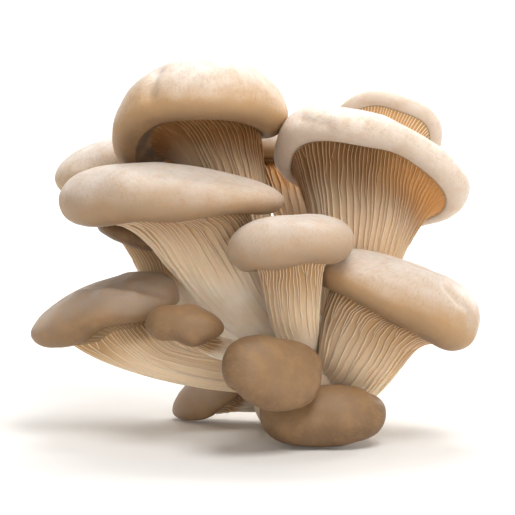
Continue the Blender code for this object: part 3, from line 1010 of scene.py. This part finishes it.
def make_foot(material):
    """The foot and the lower ends of the stems, melted together and smoothed."""
    top = np.array(FOOT_CENTRE) + np.array((0, 0, FOOT_RADII[2]))
    mesh = tube_mesh("foot_lump", foot_points(), top, np.array((0, 0, 0)), {})
    parts = [new_piece(mesh.name, mesh)]
    angle = np.linspace(0, 2 * math.pi, ROOT_COLUMNS, endpoint=False)[None, :]
    along = np.linspace(ROOT_FROM, 1, ROOT_ROWS)[:, None]
    angle, along = np.broadcast_arrays(angle, along)
    grow = ROOT_SUNK + ROOT_SWELL * smooth_step(SWELL_FROM, 1.0, along)
    for mushroom in MUSHROOMS:
        tube = stem_points(mushroom, angle, along)
        tube = tube + stem_normals(mushroom, angle, along) * grow[..., None]
        mesh = tube_mesh("root", tube, tube[0].mean(axis=0), np.array(mushroom.root[0]), {})
        parts.append(new_piece("root_" + mushroom.name, mesh))
    piece = parts[0]
    with bpy.context.temp_override(
        active_object=piece, selected_editable_objects=parts, selected_objects=parts
    ):
        bpy.ops.object.join()
    piece.name = "foot_with_roots"
    remesh = piece.modifiers.new("melt", "REMESH")
    remesh.mode = "VOXEL"
    remesh.voxel_size = MELT_STEP
    smooth = piece.modifiers.new("soften", "SMOOTH")
    smooth.factor = 0.5
    smooth.iterations = SOFTEN_ROUNDS
    keep_result(piece)
    mesh = piece.data
    place = np.zeros(len(mesh.vertices) * 3, np.float32)
    mesh.vertices.foreach_get("co", place)
    place = place.reshape(-1, 3)
    place[:, 2] = np.where(place[:, 2] < CUT_SNAP, 0, place[:, 2])
    mesh.vertices.foreach_set("co", place.ravel())
    mesh.shade_smooth()
    mesh.materials.clear()
    mesh.materials.append(material)
    return piece


# Floor, light and camera.


FLOOR_FRONT = -6.0
FLOOR_BACK = 0.9
FLOOR_STEPS = 24
FLOOR_BEND = 0.9  # radius of the curve between floor and wall
FLOOR_HALF_WIDTH = 4.0
FLOOR_DROP = 0.0004  # keeps the floor clear of the cut foot
WALL_TOP = 2.6


def make_backdrop():
    """A pale floor that curves up behind the object."""
    turn = np.radians(np.arange(6, 91, 6))
    floor = np.linspace(FLOOR_FRONT, FLOOR_BACK, FLOOR_STEPS)
    depth = np.concatenate([floor, FLOOR_BACK + FLOOR_BEND * np.sin(turn)])
    height = np.concatenate([np.zeros(FLOOR_STEPS), FLOOR_BEND * (1 - np.cos(turn))])
    depth = np.append(depth, FLOOR_BACK + FLOOR_BEND)
    height = np.append(height, WALL_TOP)
    verts, faces = [], []
    for y, z in zip(depth, height - FLOOR_DROP):
        verts += [(-FLOOR_HALF_WIDTH, y, z), (FLOOR_HALF_WIDTH, y, z)]
    for i in range(len(depth) - 1):
        faces.append((2 * i, 2 * i + 1, 2 * i + 3, 2 * i + 2))
    mesh = bpy.data.meshes.new("backdrop")
    mesh.from_pydata(verts, [], faces)
    mesh.shade_smooth()
    material, _, shader = new_material("pale_paper")
    shader.inputs["Base Color"].default_value = PAPER
    shader.inputs["Roughness"].default_value = 0.9
    shader.inputs["Specular IOR Level"].default_value = 0.1
    mesh.materials.append(material)
    new_piece("backdrop", mesh)


BUNCH_MIDDLE = (-0.02, 0, 0.08)
DAYLIGHT = (1.0, 0.985, 0.965)
WARM = (1.0, 0.96, 0.9)
LIGHTS = (  # name, place, aim, width, power, colour
    ("key_softbox", (0.25, -0.5, 1.0), BUNCH_MIDDLE, 0.6, 7.6, DAYLIGHT),
    ("overhead_softbox", (0.0, 0.25, 1.1), BUNCH_MIDDLE, 0.8, 3.2, DAYLIGHT),
    ("front_right_fill", (0.45, -1.25, 0.12), BUNCH_MIDDLE, 0.8, 6.6, (1.0, 0.97, 0.93)),
    ("back_right_glow", (0.75, 0.75, 0.45), BUNCH_MIDDLE, 0.4, 3.6, WARM),
    ("back_left_glow", (-0.8, 0.7, 0.4), BUNCH_MIDDLE, 0.4, 1.5, WARM),
    ("backdrop_wash", (0.0, 0.7, 1.5), (0.0, 1.75, 0.45), 1.0, 22, (1.0, 1.0, 1.0)),
)
ROOM_COLOUR = (1.0, 0.965, 0.92, 1)
ROOM_STRENGTH = 0.33


def make_light(name, place, aim, size, power, colour):
    light = bpy.data.lights.new(name, "AREA")
    light.shape = "DISK"
    light.size = size
    light.energy = power
    light.color = colour
    lamp = bpy.data.objects.new(name, light)
    lamp.location = place
    lamp.rotation_euler = (Vector(aim) - Vector(place)).to_track_quat("-Z", "Y").to_euler()
    bpy.context.scene.collection.objects.link(lamp)


def make_lights():
    for light in LIGHTS:
        make_light(*light)
    world = bpy.data.worlds.new("studio_air")
    bpy.context.scene.world = world
    world.use_nodes = True
    background = world.node_tree.nodes["Background"]
    background.inputs["Color"].default_value = ROOM_COLOUR
    background.inputs["Strength"].default_value = ROOM_STRENGTH


CAMERA_AIM = Vector((-22.3, -8.0, 74.8)) * MM
CAMERA_DISTANCE = 0.7
CAMERA_ELEVATION = math.radians(5)
VIEW_HALF_WIDTH = 0.1582  # at a distance of 1
SENSOR_WIDTH = 36  # millimetres
NEAR_CLIP = 0.01


def make_camera():
    data = bpy.data.cameras.new("camera")
    data.sensor_width = SENSOR_WIDTH
    data.lens = SENSOR_WIDTH / 2 / VIEW_HALF_WIDTH
    data.clip_start = NEAR_CLIP
    camera = bpy.data.objects.new("camera", data)
    back = Vector((0, -math.cos(CAMERA_ELEVATION), math.sin(CAMERA_ELEVATION)))
    camera.location = CAMERA_AIM + back * CAMERA_DISTANCE
    camera.rotation_euler = (-back).to_track_quat("-Z", "Y").to_euler()
    bpy.context.scene.collection.objects.link(camera)
    bpy.context.scene.camera = camera


def hand_over(piece, node):
    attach(piece, "root")
    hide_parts(node)


def build():
    bpy.context.scene.view_settings.view_transform = "Standard"
    make_camera()
    make_lights()
    make_backdrop()
    skin, flesh, foot = cap_skin(), gill_flesh(), foot_flesh()
    relief, blades = skin_relief_group(), gill_group()
    for seed, mushroom in enumerate(MUSHROOMS):
        cap = make_cap(mushroom, relief, skin, seed)
        hand_over(cap, "cap_" + mushroom.name)
        stem = make_stem(mushroom, blades, flesh, seed)
        hand_over(stem, "stem_" + mushroom.name)
    hand_over(make_foot(foot), "foot")


build()
